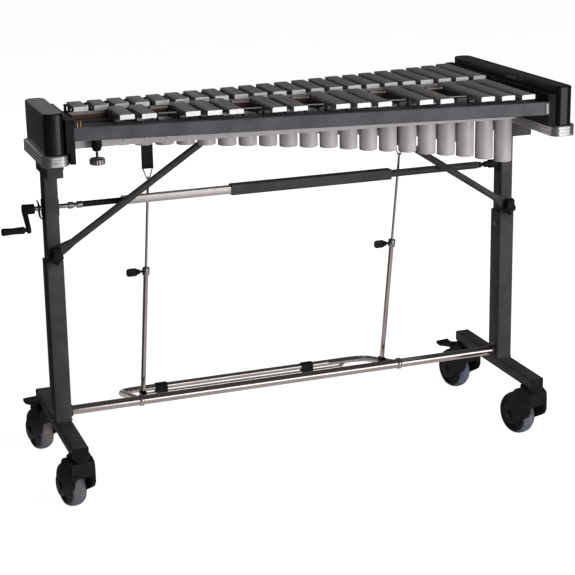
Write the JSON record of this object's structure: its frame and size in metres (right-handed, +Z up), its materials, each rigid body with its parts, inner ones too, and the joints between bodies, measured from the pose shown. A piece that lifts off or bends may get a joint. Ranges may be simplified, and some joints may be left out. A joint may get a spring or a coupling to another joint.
{
  "type": "concert bell keyboard on a lift stand",
  "caption": "Keyboard of tuned metal bars over resonators, on a crank-lift stand with swivel casters and a foot-pedal damper.",
  "frame": {"origin": "on the floor, at the centre of the object's outline seen from above", "axes": "+X towards the low notes, +Y towards the player, +Z up; the front rail faces -Y"},
  "size_m": [1.2393, 0.5635, 0.86],
  "materials": {
    "coat": "satin charcoal powder coat",
    "gloss": "polished black",
    "plastic": "satin black",
    "aluminium": "bright extruded",
    "bar": "satin, milled",
    "resonator": "pale grey enamel",
    "chrome": "polished",
    "steel": "brushed",
    "felt": "brown felt",
    "tread": "satin grey"
  },
  "bodies": {
    "stand": {"left_leg": "coat", "right_leg": "coat", "crossbar": "chrome"},
    "front_left_caster": {"front_left_caster_fork": "plastic"},
    "front_left_wheel": {"front_left_caster_wheel": "tread"},
    "rear_left_caster": {"rear_left_caster_fork": "plastic"},
    "rear_left_wheel": {"rear_left_caster_wheel": "tread"},
    "rear_left_brake": {"rear_left_caster_brake_lever": "plastic"},
    "front_right_caster": {"front_right_caster_fork": "plastic"},
    "front_right_wheel": {"front_right_caster_wheel": "tread"},
    "rear_right_caster": {"rear_right_caster_fork": "plastic"},
    "rear_right_wheel": {"rear_right_caster_wheel": "tread"},
    "rear_right_brake": {"rear_right_caster_brake_lever": "plastic"},
    "keyboard": {"left_column": "coat", "right_column": "coat", "left_brace": "coat", "right_brace": "coat", "keyboard_frame": "coat", "left_end_cap": "gloss", "right_end_cap": "gloss", "left_end_band": "aluminium", "right_end_band": "aluminium", "near_resonators": "resonator", "far_resonators": "resonator", "accidental_bar_01": "bar", "accidental_bar_02": "bar", "accidental_bar_03": "bar", "accidental_bar_04": "bar", "accidental_bar_05": "bar", "accidental_bar_06": "bar", "accidental_bar_07": "bar", "accidental_bar_08": "bar", "accidental_bar_09": "bar", "accidental_bar_10": "bar", "accidental_bar_11": "bar", "accidental_bar_12": "bar", "accidental_bar_13": "bar", "accidental_bar_14": "bar", "accidental_bar_15": "bar", "natural_bars_high": "bar", "natural_bars_low": "bar"},
    "left_brace_knob": {"left_brace_knob": "plastic"},
    "right_brace_knob": {"right_brace_knob": "plastic"},
    "adjuster": {"adjuster_screw": "steel"},
    "crank": {"crank_arm": "plastic", "shaft_bar": "steel", "shaft_sleeve": "coat"},
    "crank_grip": {"crank_grip": "plastic"},
    "damper": {"damper_bar": "felt"},
    "pedal": {"pedal_frame": "chrome"},
    "left_yoke": {"left_rod_yoke": "plastic"},
    "left_lower_rod": {"left_lower_rod": "chrome"},
    "left_upper_rod": {"left_upper_rod": "chrome"},
    "left_rod_knob": {"left_rod_knob": "plastic"},
    "right_yoke": {"right_rod_yoke": "plastic"},
    "right_lower_rod": {"right_lower_rod": "chrome"},
    "right_upper_rod": {"right_upper_rod": "chrome"},
    "right_rod_knob": {"right_rod_knob": "plastic"}
  },
  "joints": [
    {"name": "front_left_swivel", "type": "hinge", "parent": "stand", "child": "front_left_caster", "pos_m": [-0.5054, -0.1677, 0.1], "axis": [0, 0, 1], "continuous": true},
    {"name": "front_left_wheel_spin", "type": "hinge", "parent": "front_left_caster", "child": "front_left_wheel", "pos_m": [-0.51408, -0.11846, 0.05], "axis": [0.9848, 0.1736, 0], "continuous": true},
    {"name": "rear_left_swivel", "type": "hinge", "parent": "stand", "child": "rear_left_caster", "pos_m": [-0.5054, 0.1723, 0.1], "axis": [0, 0, 1], "continuous": true},
    {"name": "rear_left_wheel_spin", "type": "hinge", "parent": "rear_left_caster", "child": "rear_left_wheel", "pos_m": [-0.51408, 0.22154, 0.05], "axis": [0.9848, 0.1736, 0], "continuous": true},
    {"name": "rear_left_brake_press", "type": "hinge", "parent": "rear_left_caster", "child": "rear_left_brake", "pos_m": [-0.51339, 0.2176, 0.1135], "axis": [0.9848, 0.1736, 0], "range_deg": [-12, 0]},
    {"name": "front_right_swivel", "type": "hinge", "parent": "stand", "child": "front_right_caster", "pos_m": [0.5786, -0.1677, 0.1], "axis": [0, 0, 1], "continuous": true},
    {"name": "front_right_wheel_spin", "type": "hinge", "parent": "front_right_caster", "child": "front_right_wheel", "pos_m": [0.56992, -0.11846, 0.05], "axis": [0.9848, 0.1736, 0], "continuous": true},
    {"name": "rear_right_swivel", "type": "hinge", "parent": "stand", "child": "rear_right_caster", "pos_m": [0.5786, 0.1723, 0.1], "axis": [0, 0, 1], "continuous": true},
    {"name": "rear_right_wheel_spin", "type": "hinge", "parent": "rear_right_caster", "child": "rear_right_wheel", "pos_m": [0.56992, 0.22154, 0.05], "axis": [0.9848, 0.1736, 0], "continuous": true},
    {"name": "rear_right_brake_press", "type": "hinge", "parent": "rear_right_caster", "child": "rear_right_brake", "pos_m": [0.57061, 0.2176, 0.1135], "axis": [0.9848, 0.1736, 0], "range_deg": [-12, 0]},
    {"name": "lift", "type": "slide", "parent": "stand", "child": "keyboard", "axis": [0, 0, 1], "range_m": [0, 0.2]},
    {"name": "left_brace_knob_turn", "type": "hinge", "parent": "keyboard", "child": "left_brace_knob", "pos_m": [-0.5044, -0.0363, 0.54], "axis": [0, -1, 0], "range_deg": [0, 360]},
    {"name": "right_brace_knob_turn", "type": "hinge", "parent": "keyboard", "child": "right_brace_knob", "pos_m": [0.5776, -0.0363, 0.54], "axis": [0, -1, 0], "range_deg": [0, 360]},
    {"name": "adjuster_turn", "type": "hinge", "parent": "keyboard", "child": "adjuster", "pos_m": [-0.4234, -0.1197, 0.755], "axis": [0, 0, 1], "range_deg": [0, 360]},
    {"name": "crank_turn", "type": "hinge", "parent": "keyboard", "child": "crank", "pos_m": [-0.5614, -0.0077, 0.638], "axis": [-1, 0, 0], "range_deg": [0, 9001]},
    {"name": "crank_grip_spin", "type": "hinge", "parent": "crank", "child": "crank_grip", "pos_m": [-0.5697, -0.053, 0.60508], "axis": [-1, 0, 0], "continuous": true},
    {"name": "damper_drop", "type": "slide", "parent": "keyboard", "child": "damper", "axis": [0, 0, 1], "range_m": [-0.006, 0]},
    {"name": "pedal_press", "type": "hinge", "parent": "stand", "child": "pedal", "pos_m": [0.0366, -0.0077, 0.1725], "axis": [1, 0, 0], "range_deg": [-6, 0], "stiffness_Nm_per_rad": 25, "springref_deg": 14.32},
    {"name": "left_yoke_drop", "type": "slide", "parent": "stand", "child": "left_yoke", "axis": [0, 0, 1], "range_m": [-0.006, 0]},
    {"name": "left_lower_rod_lean", "type": "hinge", "parent": "left_yoke", "child": "left_lower_rod", "pos_m": [-0.3044, 0.0473, 0.172], "axis": [-0.8466, -0.5322, 0], "range_deg": [0, 1.35]},
    {"name": "left_upper_rod_lean", "type": "hinge", "parent": "damper", "child": "left_upper_rod", "pos_m": [-0.2824, 0.0123, 0.676], "axis": [-0.8466, -0.5322, 0], "range_deg": [0, 1.35]},
    {"name": "left_rod_knob_turn", "type": "hinge", "parent": "left_lower_rod", "child": "left_rod_knob", "pos_m": [-0.30054, 0.02716, 0.462], "axis": [-1, 0, 0], "range_deg": [0, 360]},
    {"name": "right_yoke_drop", "type": "slide", "parent": "stand", "child": "right_yoke", "axis": [0, 0, 1], "range_m": [-0.006, 0]},
    {"name": "right_lower_rod_lean", "type": "hinge", "parent": "right_yoke", "child": "right_lower_rod", "pos_m": [0.2896, 0.0473, 0.172], "axis": [-0.77, -0.638, 0], "range_deg": [0, 1.48]},
    {"name": "right_upper_rod_lean", "type": "hinge", "parent": "damper", "child": "right_upper_rod", "pos_m": [0.3186, 0.0123, 0.676], "axis": [-0.77, -0.638, 0], "range_deg": [0, 1.48]},
    {"name": "right_rod_knob_turn", "type": "hinge", "parent": "right_lower_rod", "child": "right_rod_knob", "pos_m": [0.29749, 0.02716, 0.462], "axis": [-1, 0, 0], "range_deg": [0, 360]}
  ],
  "couplings": [
    {"joint": "crank_turn", "follows": "lift", "rad_per_m": 785.4},
    {"joint": "damper_drop", "follows": "pedal_press", "m_per_rad": 0.055},
    {"joint": "left_yoke_drop", "follows": "pedal_press", "m_per_rad": 0.055},
    {"joint": "left_lower_rod_lean", "follows": "lift", "rad_per_m": 0.11593},
    {"joint": "left_upper_rod_lean", "follows": "lift", "rad_per_m": 0.11593},
    {"joint": "right_yoke_drop", "follows": "pedal_press", "m_per_rad": 0.055},
    {"joint": "right_lower_rod_lean", "follows": "lift", "rad_per_m": 0.12733},
    {"joint": "right_upper_rod_lean", "follows": "lift", "rad_per_m": 0.12733}
  ]
}
